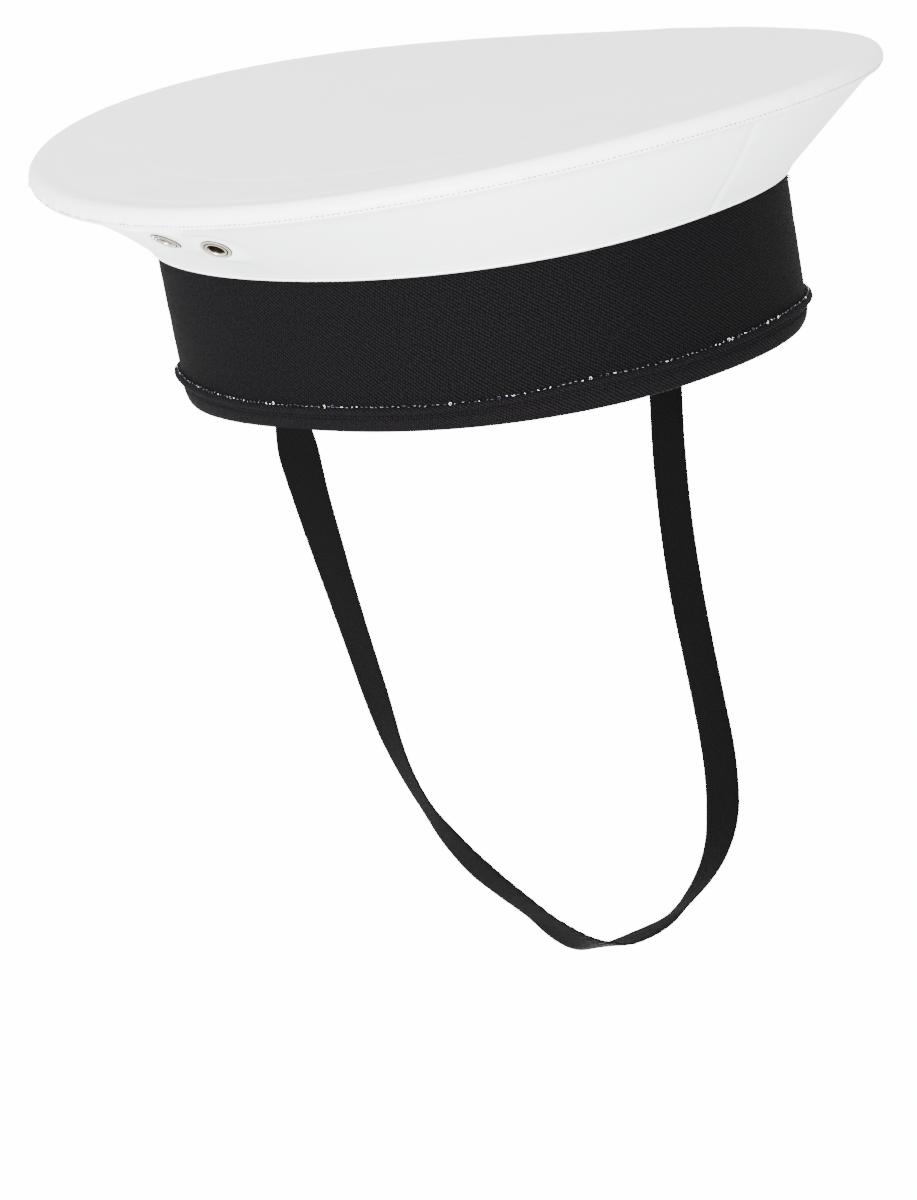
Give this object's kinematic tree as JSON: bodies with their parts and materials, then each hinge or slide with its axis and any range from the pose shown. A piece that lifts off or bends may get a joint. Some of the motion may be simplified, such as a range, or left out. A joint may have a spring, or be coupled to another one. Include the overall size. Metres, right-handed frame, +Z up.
{
  "type": "sailor cap",
  "caption": "Round sailor's cap without a peak: flat white crown on a wire hoop, sloping white side, tall black band and a loose black chin stay.",
  "frame": {"origin": "centre of the head opening, in the plane of the band's lower edge", "axes": "+Z up along the band's axis; -Y is the front; -X is the wearer's right"},
  "size_m": [0.2712, 0.2712, 0.2704],
  "materials": {
    "white_cover": "white coated cotton, faint sheen",
    "black_serge": "black twill serge",
    "black_tape": "black woven tape",
    "nickel": "nickel-plated brass",
    "spring_steel": "drawn spring wire",
    "steel": "plain tube",
    "board": "stiffened buckram",
    "wadding": "cotton wadding",
    "lining": "black cotton lining",
    "sweatband": "dark leathercloth"
  },
  "bodies": {
    "root": {"crown_cover": "white_cover", "crown_board": "board", "crown_wadding": "wadding", "crown_wire": "spring_steel", "wire_ferrule": "steel", "roll_padding": "wadding", "crown_lining": "lining", "side_panel_right": "white_cover", "side_panel_left": "white_cover", "side_interlining": "board", "side_lining": "lining", "eyelet_right_front": "nickel", "eyelet_washer_right_front": "nickel", "eyelet_right_rear": "nickel", "eyelet_washer_right_rear": "nickel", "eyelet_left_front": "nickel", "eyelet_washer_left_front": "nickel", "eyelet_left_rear": "nickel", "eyelet_washer_left_rear": "nickel", "band_cloth": "black_serge", "band_welt": "black_serge", "band_edge": "black_serge", "band_board": "board", "sweatband": "sweatband", "sweatband_reed": "sweatband", "stay_tab_right": "black_tape", "stay_tab_left": "black_tape"},
    "chin_stay": {"chin_stay": "black_tape"}
  },
  "joints": [
    {"name": "chin_stay_swing", "type": "hinge", "parent": "root", "child": "chin_stay", "pos_m": [0, 0.007, 0], "axis": [1, 0, 0], "range_deg": [-60, 60]}
  ]
}
